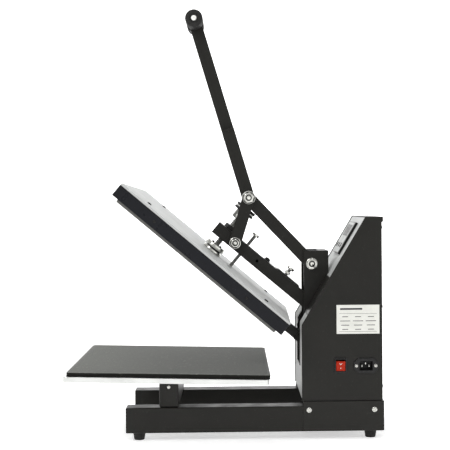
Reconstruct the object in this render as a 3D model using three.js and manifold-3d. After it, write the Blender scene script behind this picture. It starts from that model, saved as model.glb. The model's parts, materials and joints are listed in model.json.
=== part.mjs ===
// Tabletop clamshell heat press, stored open. Millimetres, +Z up, front towards -X, switch side towards -Y.
// Lengths along X are measured from the main hinge axis until the last lines centre the press on its footprint.
import * as THREE from "three";
import { mergeVertices } from "three/addons/utils/BufferGeometryUtils.js";
import Module from "manifold-3d";

const wasm = await Module();
wasm.setup();

// ---- driving dimensions ----
const GAP = 0.3;                                     // running gap between touching pieces
const OPEN_ANGLE = THREE.MathUtils.degToRad(40.1);   // swing arm above level, as stored
const PAD_TILT = THREE.MathUtils.degToRad(1.4);      // lower platen, rear edge lower
const HINGE = { x: 0, z: 161.5 };                    // main hinge axis
const LEVER_PIVOT = { x: -22.6, z: 333.9 };          // lever on the tower
const ELBOW = { x: -147.2, z: 465.9 };               // lever to link
const LINK_FOOT = { x: -272, z: 51.5 };              // link to arm, in the arm's own frame
const LEVER_LENGTH = 369;                            // elbow to grip axis
const LEVER_LEAN = { x: -0.2851, z: 0.9585 };        // direction of the handle from the elbow
const BAR = 25;                                      // depth of arm, lever and handle bars
const RAIL = { x0: -387.5, x1: 109.5, z0: 15, z1: 64, inner: 78, outer: 116, wall: 3 };
const TRAY = { x0: -46.7, x1: 109.5, top: 73.3, sheet: 1.8 };
const BOX = { x0: -48.5, x1: 107, z0: 73.6, z1: 427.5, slopeX: 75.5, slopeZ: 220, half: 115, sheet: 1.5 };
const TOWER = { inner: 35, outer: 41, top: 360 };
const PLATEN = { size: 380, band: [404, 402], wall: 2, low: -25.8, bandLow: -20, bandHigh: 4 };
const PLATEN_SKEW = THREE.MathUtils.degToRad(-2);    // the platen hangs a little turned about its screw
const LOWER = { x: -304, z: 141.5, plate: [382, 386, 9.8], pad: [378, 380, 8.3], padShift: 4 };
const SCREW_X = -298;                                // pressure screw axis along the arm
const SCREW_RADIUS = 6;

// ---- finishes ----
const finish = (color, roughness, metalness) => new THREE.MeshStandardMaterial({ color, roughness, metalness });
const BLACK = finish(0x383734, 0.55, 0.2);
const BAND_BLACK = finish(0x26272c, 0.35, 0.2);
const SILVER = finish(0xdcdedc, 0.45, 0.6);
const ALUMINIUM = finish(0xd8dad6, 0.4, 0.9);
const NON_STICK = finish(0x5c5c58, 0.5, 0.3);
const ZINC = finish(0xc4c4c0, 0.3, 0.9);
const RUBBER = finish(0x1c1c1b, 0.9, 0);
const FOAM = finish(0x6e7269, 0.95, 0);
const RED = finish(0xc8321e, 0.3, 0);
const PLASTIC = finish(0x161617, 0.4, 0);
const LABEL = finish(0xeeeee8, 0.6, 0);

// ---- solids ----
function solid(geometry) {
  const bare = geometry.clone();
  bare.deleteAttribute("normal");
  bare.deleteAttribute("uv");
  const welded = mergeVertices(bare, 1e-4);
  const triVerts = new Uint32Array(welded.index.array);
  const vertProperties = new Float32Array(welded.attributes.position.array);
  return new wasm.Manifold(new wasm.Mesh({ numProp: 3, vertProperties, triVerts }));
}

function shell(body) {
  const mesh = body.getMesh();
  const geometry = new THREE.BufferGeometry();
  geometry.setAttribute("position", new THREE.BufferAttribute(new Float32Array(mesh.vertProperties), 3));
  geometry.setIndex(new THREE.BufferAttribute(new Uint32Array(mesh.triVerts), 1));
  return geometry;
}

function cut(geometry, ...tools) {
  return shell(tools.reduce((body, tool) => body.subtract(solid(tool)), solid(geometry)));
}

function join(geometry, ...others) {
  return shell(others.reduce((body, other) => body.add(solid(other)), solid(geometry)));
}

// A block given by its spans along X, Y and Z.
function block([x0, x1], [y0, y1], [z0, z1]) {
  const geometry = new THREE.BoxGeometry(x1 - x0, y1 - y0, z1 - z0);
  return geometry.translate((x0 + x1) / 2, (y0 + y1) / 2, (z0 + z1) / 2);
}

function rodY(radius, [y0, y1], x, z, sides = 24) {
  return new THREE.CylinderGeometry(radius, radius, y1 - y0, sides).translate(x, (y0 + y1) / 2, z);
}

function rodZ(radius, [z0, z1], x, y = 0, sides = 24) {
  const geometry = new THREE.CylinderGeometry(radius, radius, z1 - z0, sides).rotateX(Math.PI / 2);
  return geometry.translate(x, y, (z0 + z1) / 2);
}

// A turned piece about a vertical axis, from [radius, height] pairs that start and end on the axis.
function turned(profile, x, sides = 32) {
  const points = profile.map(([radius, height]) => new THREE.Vector2(radius, height));
  return new THREE.LatheGeometry(points, sides).rotateX(Math.PI / 2).translate(x, 0, 0);
}

// A plate cut to an outline in the X-Z plane and spanning [y0, y1].
function plate(outline, [y0, y1]) {
  const shape = outline instanceof THREE.Shape ? outline : polygon(outline);
  const geometry = new THREE.ExtrudeGeometry(shape, { depth: y1 - y0, bevelEnabled: false, curveSegments: 12 });
  return geometry.rotateX(Math.PI / 2).translate(0, y1, 0);
}

function polygon(points) {
  return new THREE.Shape(points.map(([x, z]) => new THREE.Vector2(x, z)));
}

// A level slab with rounded plan corners.
function slab([width, depth, height], radius, x, z0) {
  const [w, d] = [width / 2, depth / 2];
  const shape = new THREE.Shape();
  shape.absarc(w - radius, d - radius, radius, 0, Math.PI / 2);
  shape.absarc(radius - w, d - radius, radius, Math.PI / 2, Math.PI);
  shape.absarc(radius - w, radius - d, radius, Math.PI, 1.5 * Math.PI);
  shape.absarc(w - radius, radius - d, radius, 1.5 * Math.PI, 2 * Math.PI);
  const geometry = new THREE.ExtrudeGeometry(shape, { depth: height, bevelEnabled: false, curveSegments: 6 });
  return geometry.translate(x, 0, z0);
}

// A straight bar between two pivots with round ends.
function barShape(a, b, radius) {
  const along = Math.atan2(b.z - a.z, b.x - a.x);
  const shape = new THREE.Shape();
  shape.absarc(b.x, b.z, radius, along - Math.PI / 2, along + Math.PI / 2);
  shape.absarc(a.x, a.z, radius, along + Math.PI / 2, along + 1.5 * Math.PI);
  return shape;
}

const press = new THREE.Group();

function add(group, name, geometry, material) {
  const mesh = new THREE.Mesh(geometry, material);
  mesh.name = name;
  group.add(mesh);
  return mesh;
}

const SIDES = { near: -1, far: 1 };
const spanOn = (side, a, b) => (side < 0 ? [-b, -a] : [a, b]);

// ---- base ----
const FOOT = { radius: 12.4, low: 10, inset: 24.5, y: 97 };
const CROSS_BARS = { front: [-42, -12], rear: [72, 102] };
const SUPPORT = { x: [-323, -286], half: 113, top: 110 };

for (const [label, side] of Object.entries(SIDES)) {
  const span = spanOn(side, RAIL.inner, RAIL.outer);
  const tube = block([RAIL.x0, RAIL.x1], span, [RAIL.z0, RAIL.z1]);
  const bore = block(
    [RAIL.x0 + RAIL.wall, RAIL.x1 + 1],
    spanOn(side, RAIL.inner + RAIL.wall, RAIL.outer - RAIL.wall),
    [RAIL.z0 + RAIL.wall, RAIL.z1 - RAIL.wall],
  );
  add(press, `base_rail_${label}`, cut(tube, bore), BLACK);
  for (const [end, x] of [["front", RAIL.x0 + FOOT.inset], ["rear", RAIL.x1 - FOOT.inset]]) {
    const foot = new THREE.CylinderGeometry(FOOT.radius, FOOT.low, RAIL.z0 - GAP, 24).rotateX(Math.PI / 2);
    foot.translate(x, side * FOOT.y, (RAIL.z0 - GAP) / 2);
    add(press, `foot_${end}_${label}`, foot, RUBBER);
  }
}
for (const [end, span] of Object.entries(CROSS_BARS)) {
  const bar = block(span, [-RAIL.outer + 1, RAIL.outer - 1], [RAIL.z1 + GAP, TRAY.top - TRAY.sheet - GAP]);
  add(press, `cross_bar_${end}`, bar, BLACK);
}
const trayHalf = RAIL.outer + GAP + TRAY.sheet;
const trayTop = block([TRAY.x0, TRAY.x1], [-trayHalf, trayHalf], [RAIL.z0 + 1, TRAY.top]);
const trayHollow = block(
  [TRAY.x0 - 1, TRAY.x1 + 1],
  [TRAY.sheet - trayHalf, trayHalf - TRAY.sheet],
  [RAIL.z0, TRAY.top - TRAY.sheet],
);
add(press, "chassis_tray", cut(trayTop, trayHollow), BLACK);
add(press, "platen_support", block(SUPPORT.x, [-SUPPORT.half, SUPPORT.half], [RAIL.z1 + GAP, SUPPORT.top]), BLACK);

// ---- lower platen, tilted a little as it sits ----
const lower = new THREE.Group();
lower.position.set(LOWER.x, 0, LOWER.z);
lower.rotation.y = PAD_TILT;
press.add(lower);
const [padWidth, padDepth, padHeight] = LOWER.pad;
const plateTop = -padHeight - GAP;
const plateLow = plateTop - LOWER.plate[2];
add(lower, "foam_pad", slab([padWidth, padDepth, padHeight], 7, LOWER.padShift, -padHeight), FOAM);
add(lower, "lower_platen", slab(LOWER.plate, 9, 0, plateLow), ALUMINIUM);
add(lower, "platen_mount", slab([150, 120, 8], 4, 0, plateLow - GAP - 8), BLACK);

// ---- tower ----
const AXLE_RADIUS = 8;
const BOLT_RADIUS = 6;
const towerOutline = [
  [-38.5, TOWER.top], [-38.5, 232], [-48.2, 205], [-48.2, 131.5], [-44, 131.5], [-44, 79],
  [60, 79], [60, 220], [10.5, 300], [10.5, TOWER.top],
];
const slope = Math.atan2(BOX.z1 - BOX.slopeZ, BOX.slopeX - BOX.x0);
const slopeAt = (x) => BOX.slopeZ + (x - BOX.x0) * Math.tan(slope);
// Each tower plate has an ear that lies on the control box's slope and covers the slot's side.
const EAR = { x: [-36.5, 6.5], top: 0.2, low: 2.55, reach: 112 };
const [earX0, earX1] = EAR.x;
const earOutline = [
  [earX0, slopeAt(earX0) - EAR.top], [earX1, slopeAt(earX1) - EAR.top],
  [earX1, slopeAt(earX1) - EAR.low], [earX0, slopeAt(earX0) - EAR.low],
];
for (const [label, side] of Object.entries(SIDES)) {
  const span = spanOn(side, TOWER.inner, TOWER.outer);
  const wide = spanOn(side, TOWER.inner - 1, TOWER.outer + 1);
  const ear = plate(earOutline, spanOn(side, TOWER.outer - 1, EAR.reach));
  const blank = join(plate(towerOutline, span), ear);
  const body = cut(
    blank,
    rodY(AXLE_RADIUS + GAP, wide, HINGE.x, HINGE.z),
    rodY(BOLT_RADIUS + GAP, wide, LEVER_PIVOT.x, LEVER_PIVOT.z),
  );
  add(press, `tower_plate_${label}`, body, BLACK);
}
add(press, "tower_foot", block([-44, 70], [-60, 60], [TRAY.top + GAP, 78.7]), BLACK);
const tieSpan = [GAP - TOWER.inner, TOWER.inner - GAP];
add(press, "tower_tie", block([-8, 10], tieSpan, [TOWER.top - 7, TOWER.top]), BLACK);
add(press, "hinge_axle", rodY(AXLE_RADIUS, [-47, 47], HINGE.x, HINGE.z), ZINC);

// A through bolt: shank, a washer and a hex nut at each end.
function throughBolt(radius, reach, x, z) {
  const parts = [];
  for (const side of [-1, 1]) {
    parts.push(rodY(radius * 2.15, spanOn(side, reach, reach + 1.6), x, z, 28));
    parts.push(rodY(radius * 1.75, spanOn(side, reach + 1.5, reach + 8), x, z, 6));
  }
  return join(rodY(radius, [-reach - 10, reach + 10], x, z), ...parts);
}
const pivotBolt = throughBolt(BOLT_RADIUS, TOWER.outer + GAP, LEVER_PIVOT.x, LEVER_PIVOT.z);
add(press, "lever_pivot_bolt", pivotBolt, ZINC);

// ---- control box ----
const panelOutline = [
  [BOX.x0, BOX.z0], [BOX.x1, BOX.z0], [BOX.x1, 417], [BOX.x1 + 2.6, 418], [BOX.x1 + 2.6, BOX.z1],
  [BOX.slopeX, BOX.z1], [BOX.x0, BOX.slopeZ],
];
const SWITCH = { x: 26.3, z: 142, flange: [24, 28], body: [20.5, 24.5], hole: [18.8, 22.6], depth: 16 };
const INLET = {
  x: 75, z: 141, flange: [47, 29], ear: { x: 14.5, z: 6 }, body: [29, 22.5], hole: [25, 17.5], depth: 18,
};
const innerY = BOX.sheet - BOX.half;
const aroundX = (part, [width]) => [part.x - width / 2, part.x + width / 2];
const aroundZ = (part, [, height]) => [part.z - height / 2, part.z + height / 2];
const grown = ([width, height], by) => [width + by, height + by];

for (const [label, side] of Object.entries(SIDES)) {
  const panel = plate(panelOutline, spanOn(side, BOX.half - BOX.sheet, BOX.half));
  const windows = [SWITCH, INLET].map((part) => {
    const size = grown(part.body, 2 * GAP);
    return block(aroundX(part, size), [-BOX.half - 1, innerY + 1], aroundZ(part, size));
  });
  add(press, `side_panel_${label}`, side < 0 ? cut(panel, ...windows) : panel, BLACK);
}
const sheetHalf = BOX.half - BOX.sheet - GAP;
const foldZ = BOX.slopeZ - 0.4;
const lipX = BOX.slopeX + 1;
const frontOutline = [
  [BOX.x0 + 1.5, BOX.z0 + GAP], [BOX.x0 + 2.7, BOX.z0 + GAP], [BOX.x0 + 2.7, foldZ - 0.3],
  [lipX + 1.1, slopeAt(lipX) - 4.2], [lipX, slopeAt(lipX) - 3.2], [BOX.x0 + 1.5, foldZ],
];
const towerSlot = block([BOX.x0 - 5, 12.5], [-TOWER.outer - 1, TOWER.outer + 1], [129.5, 330]);
add(press, "front_panel", cut(plate(frontOutline, [-sheetHalf, sheetHalf]), towerSlot), SILVER);

const rearOutline = [
  [BOX.slopeX + 3, BOX.z1 - 1.2], [BOX.x1 - 1.2, BOX.z1 - 1.2], [BOX.x1 - 1.2, BOX.z0 + GAP],
  [BOX.x1, BOX.z0 + GAP], [BOX.x1, BOX.z1], [BOX.slopeX + 3, BOX.z1],
];
const VENTS = { count: 9, pitch: 12, height: 5, low: 250, half: 60 };
const vents = Array.from({ length: VENTS.count }, (_, i) => {
  const z = VENTS.low + i * VENTS.pitch;
  return block([BOX.x1 - 5, BOX.x1 + 5], [-VENTS.half, VENTS.half], [z, z + VENTS.height]);
});
add(press, "rear_cover", cut(plate(rearOutline, [-sheetHalf, sheetHalf]), ...vents), BLACK);
add(press, "rating_label", block([18.9, 101.5], [-BOX.half - 0.7, -BOX.half - GAP], [202.6, 258.3]), LABEL);

// Mains switch housing and its rocker, which tips about a pin along X.
function socketHousing(part) {
  const [reach, rise] = part.flange.map((size) => size / 2);
  const ear = part.ear ?? { x: reach - 0.5, z: rise - 0.5 };
  const corner = [[reach, ear.z], [ear.x, rise], [-ear.x, rise], [-reach, ear.z]];
  const flange = [...corner, ...corner.map(([x, z]) => [-x, -z])].map(([x, z]) => [part.x + x, part.z + z]);
  const housing = join(
    plate(flange, [-BOX.half - 3, -BOX.half - GAP]),
    block(aroundX(part, part.body), [-BOX.half - 1, part.depth - BOX.half + 2], aroundZ(part, part.body)),
  );
  const pocket = block(aroundX(part, part.hole), [-BOX.half - 5, part.depth - BOX.half], aroundZ(part, part.hole));
  return cut(housing, pocket);
}
add(press, "switch_housing", socketHousing(SWITCH), PLASTIC);
const ROCKER_TIP = THREE.MathUtils.degToRad(9);
const rocker = new THREE.Group();
rocker.position.set(SWITCH.x, -BOX.half + 4, SWITCH.z);
rocker.rotation.x = ROCKER_TIP;
press.add(rocker);
const rockerShape = new THREE.Shape([
  new THREE.Vector2(-8.2, -9.6), new THREE.Vector2(-6.6, 0), new THREE.Vector2(-8.2, 9.6),
  new THREE.Vector2(0, 8.6), new THREE.Vector2(4, 0), new THREE.Vector2(0, -8.6),
]);
const rockerBody = new THREE.ExtrudeGeometry(rockerShape, { depth: 17.6, bevelEnabled: false });
// the outline's (x, y) becomes (depth into the box, height)
rockerBody.applyMatrix4(new THREE.Matrix4().set(0, 0, 1, -8.8, 1, 0, 0, 0, 0, 1, 0, 0, 0, 0, 0, 1));
add(rocker, "power_rocker", rockerBody, RED);

const pins = [[-7, -1.5], [7, -1.5], [0, 3.5]].map(([dx, dz]) => {
  const [x, z] = [INLET.x + dx, INLET.z + dz];
  return block([x - 1, x + 1], [6 - BOX.half, INLET.depth - BOX.half + 1], [z - 2.2, z + 2.2]);
});
add(press, "power_inlet", join(socketHousing(INLET), ...pins), PLASTIC);

// ---- controller on the slope: local X runs up the slope, local Z stands out of it ----
const CASE = { half: [36, 52], low: -1.2, high: 3.2 };
const FACE = { half: [34, 50], low: 3.5, high: 4.5 };
const BUTTONS = { radius: 5.5, row: -18, low: 1.5, high: 5.8, places: { mode: -32, down: 0, up: 32 } };
const controller = new THREE.Group();
controller.position.set(49.2, 0, slopeAt(49.2));
controller.rotation.y = -slope;
press.add(controller);
const wells = Object.values(BUTTONS.places).map((y) => rodZ(BUTTONS.radius + 0.5, [0, 12], BUTTONS.row, y));
const caseBody = block([-CASE.half[0], CASE.half[0]], [-CASE.half[1], CASE.half[1]], [CASE.low, CASE.high]);
add(controller, "controller_case", cut(caseBody, ...wells), PLASTIC);
const faceBody = block([-FACE.half[0], FACE.half[0]], [-FACE.half[1], FACE.half[1]], [FACE.low, FACE.high]);
const windowCut = block([3.5, 28.5], [-40.5, 40.5], [FACE.low - 1, FACE.high + 1]);
add(controller, "controller_face", cut(faceBody, windowCut, ...wells), SILVER);
add(controller, "display_window", block([4, 28], [-40, 40], [FACE.low, FACE.high - GAP]), PLASTIC);
for (const [label, y] of Object.entries(BUTTONS.places)) {
  add(controller, `button_${label}`, rodZ(BUTTONS.radius, [BUTTONS.low, BUTTONS.high], BUTTONS.row, y), BLACK);
}

// ---- lever: two bent plates from the tower pivot over the elbow, a bridge, and the handle tube ----
const FORK = { inner: 28, outer: 34, length: 137.7, bridge: 5 };
const alongHandle = (distance) => ({
  x: ELBOW.x + LEVER_LEAN.x * distance,
  z: ELBOW.z + LEVER_LEAN.z * distance,
});
// A block along the handle, between two distances from the elbow.
function handleBlock(from, to, halfWidth, ySpan) {
  const across = { x: LEVER_LEAN.z, z: -LEVER_LEAN.x };
  const corner = (distance, offset) => {
    const at = alongHandle(distance);
    return [at.x + across.x * offset, at.z + across.z * offset];
  };
  return plate(
    [corner(from, halfWidth), corner(to, halfWidth), corner(to, -halfWidth), corner(from, -halfWidth)],
    ySpan,
  );
}
for (const [label, side] of Object.entries(SIDES)) {
  const span = spanOn(side, FORK.inner, FORK.outer);
  const wide = spanOn(side, FORK.inner - 1, FORK.outer + 1);
  const bent = join(
    plate(barShape(LEVER_PIVOT, ELBOW, BAR / 2), span),
    handleBlock(0, FORK.length, BAR / 2, span),
  );
  const holes = [LEVER_PIVOT, ELBOW].map(({ x, z }) => rodY(BOLT_RADIUS + GAP, wide, x, z));
  add(press, `lever_plate_${label}`, cut(bent, ...holes), BLACK);
}
const bridgeFrom = FORK.length + GAP;
const bridgeTo = bridgeFrom + FORK.bridge;
add(press, "lever_bridge", handleBlock(bridgeFrom, bridgeTo, BAR / 2, [-FORK.outer, FORK.outer]), BLACK);
const gripAxis = alongHandle(LEVER_LENGTH);
const GRIP = { radius: 17.3, rod: 5, inner: 13.2, outer: 57 };
const tube = handleBlock(bridgeTo + GAP, LEVER_LENGTH + 12, BAR / 2, [-BAR / 2, BAR / 2]);
const tubeBore = rodY(GRIP.rod + GAP, [-20, 20], gripAxis.x, gripAxis.z);
add(press, "handle_tube", cut(tube, tubeBore), BLACK);
for (const [label, side] of Object.entries(SIDES)) {
  const sleeve = rodY(GRIP.radius, spanOn(side, GRIP.inner, GRIP.outer), gripAxis.x, gripAxis.z, 40);
  const bore = rodY(GRIP.rod + GAP, spanOn(side, GRIP.inner - 1, GRIP.outer + 1), gripAxis.x, gripAxis.z);
  add(press, `grip_${label}`, cut(sleeve, bore), RUBBER);
}
const gripEnds = [-1, 1].map((side) => {
  return rodY(6.2, spanOn(side, GRIP.outer + GAP, GRIP.outer + 3), gripAxis.x, gripAxis.z);
});
const gripRod = rodY(GRIP.rod, [-GRIP.outer - 2, GRIP.outer + 2], gripAxis.x, gripAxis.z);
add(press, "grip_bolt", join(gripRod, ...gripEnds), ZINC);

// ---- swing arm and upper platen, in the arm's own level frame about the hinge ----
const swing = new THREE.Group();
swing.position.set(HINGE.x, 0, HINGE.z);
swing.rotation.y = OPEN_ANGLE;
press.add(swing);
const toPress = ({ x, z }) => ({
  x: HINGE.x + x * Math.cos(OPEN_ANGLE) + z * Math.sin(OPEN_ANGLE),
  z: HINGE.z - x * Math.sin(OPEN_ANGLE) + z * Math.cos(OPEN_ANGLE),
});

const ARM = { x0: -322.4, x1: -78, low: 39, high: 64, half: 27.5, wall: 3 };
const GUIDE = { x: -249, top: 92, radius: 3.5 };      // slides through the arm with the platen
const LEVELLER = { x: -151, top: 85, radius: 3.5 };   // adjusting screw held by the arm
const armTube = join(
  block([ARM.x0, ARM.x1], [-ARM.half, ARM.half], [ARM.low, ARM.high]),
  plate([[-179, ARM.high - 1], [-116, ARM.high - 1], [-118, 67], [-170, 67]], [-24, 24]),
);
const armBore = block(
  [ARM.x0 + ARM.wall, ARM.x1 + 1],
  [ARM.wall - ARM.half, ARM.half - ARM.wall],
  [ARM.low + ARM.wall, ARM.high - ARM.wall],
);
const armHoles = [
  rodZ(SCREW_RADIUS + 1, [30, 80], SCREW_X),
  ...[GUIDE, LEVELLER].map(({ x, radius }) => rodZ(radius + 0.8, [30, 80], x)),
  rodY(3, [-40, -15], -215, LINK_FOOT.z),
];
add(swing, "arm_tube", cut(armTube, armBore, ...armHoles), BLACK);

const crankShape = new THREE.Shape([
  new THREE.Vector2(-140, 42.4), new THREE.Vector2(-70, 42.4), new THREE.Vector2(-58, 8),
  new THREE.Vector2(-58, -22), new THREE.Vector2(-14, -18),
]);
crankShape.absarc(0, 0, 20, -2.2, 1.4, false);
crankShape.lineTo(-44, 60.6);
crankShape.lineTo(-140, 60.6);
for (const [label, side] of Object.entries(SIDES)) {
  const body = cut(plate(crankShape, spanOn(side, 18, 24)), rodY(15 + GAP, spanOn(side, 16, 26), 0, 0));
  add(swing, `crank_plate_${label}`, body, BLACK);
}
add(swing, "hinge_tube", cut(rodY(15, [-34.5, 34.5], 0, 0), rodY(AXLE_RADIUS + GAP, [-40, 40], 0, 0)), BLACK);
add(swing, "rear_tongue", block([-92, -24], [-17.6, 17.6], [-21, -3]), BLACK);
const nutBody = rodZ(13, [ARM.high + GAP, ARM.high + 9], SCREW_X, 0, 6);
add(swing, "screw_nut", cut(nutBody, rodZ(SCREW_RADIUS + GAP, [50, 90], SCREW_X)), ZINC);

const platen = new THREE.Group();
platen.position.set(SCREW_X, 0, 0);
platen.rotation.z = PLATEN_SKEW;
swing.add(platen);
const [bandX, bandY] = PLATEN.band;
const hollowX = bandX - 2 * PLATEN.wall;
const hollowY = bandY - 2 * PLATEN.wall;
const bandHeight = PLATEN.bandHigh - PLATEN.bandLow;
const bandHollow = slab([hollowX, hollowY, bandHeight + 2], 2, 0, PLATEN.bandLow - 1);
add(platen, "platen_band", cut(slab([bandX, bandY, bandHeight], 3, 0, PLATEN.bandLow), bandHollow), BAND_BLACK);
add(platen, "heating_plate", slab([PLATEN.size, PLATEN.size, 17.5], 6, 0, PLATEN.low), NON_STICK);
add(platen, "insulation_board", slab([390, 388, 5.5], 4, 0, -8), LABEL);
// A lid that stands on the band, with a lip down inside it, hollow from below.
const COVER = { lip: -2, rise: 3.7, sheet: 1.2, skirt: 4 };
const coverLow = PLATEN.bandHigh + GAP;
const coverTop = coverLow + COVER.rise;
const coverBlank = join(
  slab([bandX, bandY, COVER.rise], 3, 0, coverLow),
  slab([hollowX - 2 * GAP, hollowY - 2 * GAP, coverLow + 1 - COVER.lip], 2, 0, COVER.lip),
);
const hollowHeight = coverTop - COVER.sheet + 10;
const coverHollow = slab([hollowX - 2 * COVER.skirt, hollowY - 2 * COVER.skirt, hollowHeight], 2, 0, -10);
add(platen, "platen_cover", cut(coverBlank, coverHollow), SILVER);

const collarLow = coverTop + GAP;
const SCREW_LOW = collarLow + 1;
const collar = turned([
  [0, collarLow], [21, collarLow], [21, 13.5], [17, 13.5], [17, 16], [21.5, 16], [21.5, 24], [20.5, 25], [0, 25],
], SCREW_X);
add(swing, "thrust_collar", cut(collar, rodZ(SCREW_RADIUS + GAP, [SCREW_LOW - GAP, 40], SCREW_X)), ZINC);
const guide = join(
  rodZ(GUIDE.radius, [collarLow, GUIDE.top - 1], GUIDE.x),
  rodZ(8, [GUIDE.top - 5, GUIDE.top], GUIDE.x),
);
add(swing, "guide_bolt", guide, ZINC);
const leveller = join(
  rodZ(LEVELLER.radius, [ARM.low + 1, LEVELLER.top - 1], LEVELLER.x),
  rodZ(8, [LEVELLER.top - 5, LEVELLER.top], LEVELLER.x),
  rodZ(6, [ARM.high + 6, ARM.high + 11], LEVELLER.x, 0, 6),
);
add(swing, "levelling_screw", leveller, ZINC);
const HUB_LOW = 90;
add(swing, "pressure_screw", rodZ(SCREW_RADIUS, [SCREW_LOW, HUB_LOW - GAP], SCREW_X), ZINC);
const knob = turned([
  [0, HUB_LOW], [14.4, HUB_LOW], [14.4, 108], [21.5, 108], [22, 109], [22, 113.2], [20.8, 113.8],
  [20.8, 115.4], [22, 116], [22, 120], [21, 121], [0, 121],
], SCREW_X, 36);
add(swing, "pressure_knob", knob, PLASTIC);

// ---- links: outside the lever plates and the arm; their lower bolts stop just short of the arm ----
const LINK = { inner: 35, outer: 41, radius: 12 };
const linkFoot = toPress(LINK_FOOT);
for (const [label, side] of Object.entries(SIDES)) {
  const span = spanOn(side, LINK.inner, LINK.outer);
  const wide = spanOn(side, LINK.inner - 1, LINK.outer + 1);
  const holes = [ELBOW, linkFoot].map(({ x, z }) => rodY(BOLT_RADIUS + GAP, wide, x, z));
  add(press, `link_${label}`, cut(plate(barShape(ELBOW, linkFoot, LINK.radius), span), ...holes), BLACK);
  const from = LINK.outer + GAP;
  const stub = join(
    rodY(BOLT_RADIUS, spanOn(side, ARM.half + 0.5, from + 10), linkFoot.x, linkFoot.z),
    rodY(BOLT_RADIUS * 2.15, spanOn(side, from, from + 1.6), linkFoot.x, linkFoot.z, 28),
    rodY(BOLT_RADIUS * 1.75, spanOn(side, from + 1.5, from + 8), linkFoot.x, linkFoot.z, 6),
  );
  add(press, `link_bolt_${label}`, stub, ZINC);
}
add(press, "elbow_bolt", throughBolt(BOLT_RADIUS, LINK.outer + GAP, ELBOW.x, ELBOW.z), ZINC);

// ---- origin: centre of the footprint, on the surface the feet stand on ----
press.updateMatrixWorld(true);
const bounds = new THREE.Box3().setFromObject(press, true);
const middle = bounds.getCenter(new THREE.Vector3());
press.position.set(-middle.x, -middle.y, -bounds.min.z);
press.updateMatrixWorld(true);

export default press;
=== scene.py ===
"""Looks of a tabletop clamshell heat press, stored open.

Places are in metres, +Z up, front towards -X and the switch side towards -Y. Profiles, sizes and
offsets within a place are in millimetres."""
import json
import math

import bpy
from mathutils import Matrix, Vector, noise


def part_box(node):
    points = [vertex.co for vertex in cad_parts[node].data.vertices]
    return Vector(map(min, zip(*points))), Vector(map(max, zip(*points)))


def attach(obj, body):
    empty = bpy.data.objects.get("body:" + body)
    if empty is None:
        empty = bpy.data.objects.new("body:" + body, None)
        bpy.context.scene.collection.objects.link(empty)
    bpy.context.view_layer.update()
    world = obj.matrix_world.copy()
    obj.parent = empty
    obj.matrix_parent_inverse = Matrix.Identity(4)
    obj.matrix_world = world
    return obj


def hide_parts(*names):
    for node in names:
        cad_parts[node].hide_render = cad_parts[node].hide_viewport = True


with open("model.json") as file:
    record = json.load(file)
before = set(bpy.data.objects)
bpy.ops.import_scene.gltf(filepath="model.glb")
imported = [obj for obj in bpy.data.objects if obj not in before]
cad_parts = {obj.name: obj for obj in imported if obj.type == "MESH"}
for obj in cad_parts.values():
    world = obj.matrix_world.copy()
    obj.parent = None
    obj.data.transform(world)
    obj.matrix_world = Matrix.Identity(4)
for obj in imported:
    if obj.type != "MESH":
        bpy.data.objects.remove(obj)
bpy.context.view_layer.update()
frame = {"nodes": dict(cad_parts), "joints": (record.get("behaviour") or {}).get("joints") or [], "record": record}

MM = 0.001
NODES = frame["nodes"]
JOINTS = {joint["name"]: joint for joint in frame["joints"]}
SIDES = {"near": -1, "far": 1}
ENDS = {"front": -1, "rear": 1}
PAD_TILT = math.radians(1.4)      # lower platen, rear edge lower
PLATEN_SKEW = math.radians(-2)    # upper platen, turned about the pressure screw
ROCKER_TIP = math.radians(9)      # mains rocker, top edge out
ROCKER_LEAN = math.radians(9.46)  # each half of the rocker's face, towards the middle
ARM_WALL = 3                      # wall of the arm tube
STRAP = 3                         # how far the strap stands above the arm tube
STUD_AT = -199                    # the stud's place along the arm, from the main hinge
SHANK = 5.6                       # radius of the linkage's bolts
SCREW_BORE = 6.4                  # radius of the holes round the pressure screw


# ---- places: matrices whose Z points out of a piece ----
def place(origin, outward, right):
    """A matrix at origin with Z along outward and X as near to right as can be."""
    z = Vector(outward).normalized()
    y = z.cross(Vector(right)).normalized()
    matrix = Matrix((y.cross(z), y, z)).transposed().to_4x4()
    matrix.translation = Vector(origin)
    return matrix


def crosswise(origin, side=1):
    """A place whose Z points across the press, towards the far side for 1 and the near side for -1."""
    return place(origin, (0, side, 0), (1, 0, 0))


def on(axes, x, y, z):
    """A place with the same directions as axes, moved by millimetres within them."""
    return axes @ Matrix.Translation(Vector((x, y, z)) * MM)


def middle(node):
    """The centre of a CAD node's box."""
    low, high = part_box(node)
    return (low + high) / 2


def span(node, axes):
    """Lowest and highest corner of a CAD node, in millimetres within a place's own axes."""
    inverse = axes.inverted()
    points = [inverse @ vertex.co for vertex in NODES[node].data.vertices]
    return Vector(map(min, zip(*points))) / MM, Vector(map(max, zip(*points))) / MM


def hinge_at(name):
    """A point on a joint's axis."""
    return Vector(JOINTS[name]["pos_m"])


ARM = place(hinge_at("arm_tilt"), JOINTS["platen_lift"]["axis"], (1, 0, 0))
SLOPE = place(middle("controller_face"), -Vector(JOINTS["mode_press"]["axis"]), (0.5, 0, 0.85))
SCREW = place(hinge_at("knob_turn"), JOINTS["platen_lift"]["axis"], (1, 0, 0))
PLATEN = SCREW @ Matrix.Rotation(PLATEN_SKEW, 4, "Z")
OUTER_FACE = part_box("link_far")[1].y / MM    # the links and the tower plates share this outer side
WASHER_FACE = OUTER_FACE + 0.3               # where the washers of the linkage's bolts start


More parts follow.
